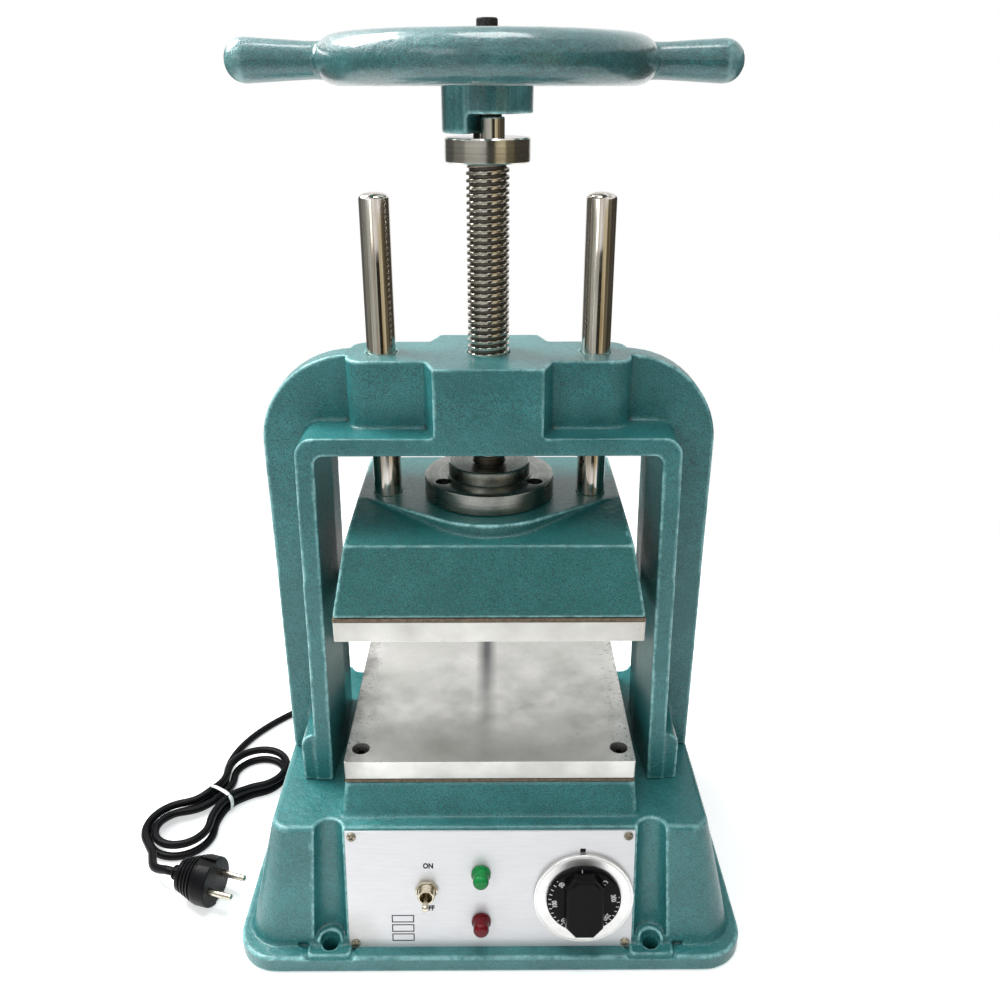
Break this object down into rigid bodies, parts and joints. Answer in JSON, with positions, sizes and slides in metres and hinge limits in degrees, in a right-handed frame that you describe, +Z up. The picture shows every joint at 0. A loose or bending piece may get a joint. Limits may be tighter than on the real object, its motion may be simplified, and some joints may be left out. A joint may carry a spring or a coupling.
{
  "type": "jewelry mold vulcanizer",
  "caption": "Bench press for vulcanizing rubber jewelry moulds: a handwheel and screw close a heated head on guide posts onto a heated platen above a base with its controls.",
  "frame": {"origin": "on the floor under the press screw's axis, at the middle of the base's underside", "axes": "+Z up along the press screw, -Y towards the front with the controls, +X to the right as seen from the front"},
  "size_m": [0.4628, 0.3452, 0.6023],
  "materials": {
    "paint": "teal hammertone enamel, glossy",
    "platen": "milled, cloudy",
    "steel": "turned",
    "dark_steel": "plain",
    "chrome": "polished",
    "black_oxide": "blackened",
    "panel": "satin silver",
    "bezel": "bright",
    "black_plastic": "glossy black",
    "cord": "satin black",
    "nickel": "nickel plate",
    "insulation": "brown board",
    "mica": "mica sandwich",
    "green_lens": "clear green",
    "red_lens": "clear red",
    "white": "white",
    "copper": "bare copper"
  },
  "bodies": {
    "base": {"base_casting": "paint", "bottom_cover": "dark_steel", "arch_casting": "paint", "arch_bolt_left": "dark_steel", "arch_bolt_right": "dark_steel", "lower_insulation": "insulation", "lower_heater": "mica", "lower_platen": "platen", "lower_platen_bolt_1": "black_oxide", "lower_platen_bolt_2": "black_oxide", "lower_platen_bolt_3": "black_oxide", "lower_platen_bolt_4": "black_oxide", "control_panel": "panel", "panel_screw_1": "steel", "panel_screw_2": "steel", "panel_screw_3": "steel", "panel_screw_4": "steel", "toggle_switch_body": "nickel", "toggle_nut": "nickel", "power_lamp_body": "black_plastic", "power_lamp_lens": "green_lens", "heat_lamp_body": "black_plastic", "heat_lamp_lens": "red_lens", "thermostat_body": "steel", "thermostat_capillary": "copper", "dial_bezel": "bezel", "cord_gland": "black_plastic", "base_lead_gland": "black_plastic", "cord_lead": "cord", "cord_hank": "cord", "cord_tail": "cord", "cord_tie": "white", "mains_plug": "cord", "plug_pin_near": "nickel", "plug_pin_far": "nickel"},
    "head": {"head_casting": "paint", "upper_insulation": "insulation", "upper_heater": "mica", "upper_platen": "platen", "upper_platen_bolt_1": "black_oxide", "upper_platen_bolt_2": "black_oxide", "upper_platen_bolt_3": "black_oxide", "upper_platen_bolt_4": "black_oxide", "guide_post_left": "chrome", "guide_post_right": "chrome", "thrust_collar": "steel", "thrust_collar_screw_1": "black_oxide", "thrust_collar_screw_2": "black_oxide", "thrust_collar_screw_3": "black_oxide", "thrust_bearing": "steel", "head_lead_gland": "black_plastic"},
    "screw": {"press_screw": "steel", "drive_collar": "steel", "drive_pin": "chrome", "wheel_bolt": "black_oxide"},
    "wheel": {"handwheel": "paint"},
    "toggle": {"toggle_lever": "nickel"},
    "dial": {"thermostat_dial": "black_plastic", "thermostat_shaft": "steel"}
  },
  "joints": [
    {"name": "head_slide", "type": "slide", "parent": "base", "child": "head", "axis": [0, 0, 1], "range_m": [-0.0954, 0.018]},
    {"name": "screw_turn", "type": "hinge", "parent": "head", "child": "screw", "pos_m": [0, 0, 0.45], "axis": [0, 0, 1], "range_deg": [-8115, 1535]},
    {"name": "wheel_knock", "type": "hinge", "parent": "screw", "child": "wheel", "pos_m": [0, 0, 0.5799], "axis": [0, 0, 1], "range_deg": [-207, 10]},
    {"name": "toggle_flip", "type": "hinge", "parent": "base", "child": "toggle", "pos_m": [-0.0437, -0.11064, 0.05977], "axis": [-1, 0, 0], "range_deg": [0, 26]},
    {"name": "dial_turn", "type": "hinge", "parent": "base", "child": "dial", "pos_m": [0.0643, -0.11177, 0.05367], "axis": [0, 0.9887, -0.1498], "range_deg": [0, 270]}
  ],
  "couplings": [
    {"joint": "screw_turn", "follows": "head_slide", "rad_per_m": 1484.2}
  ]
}
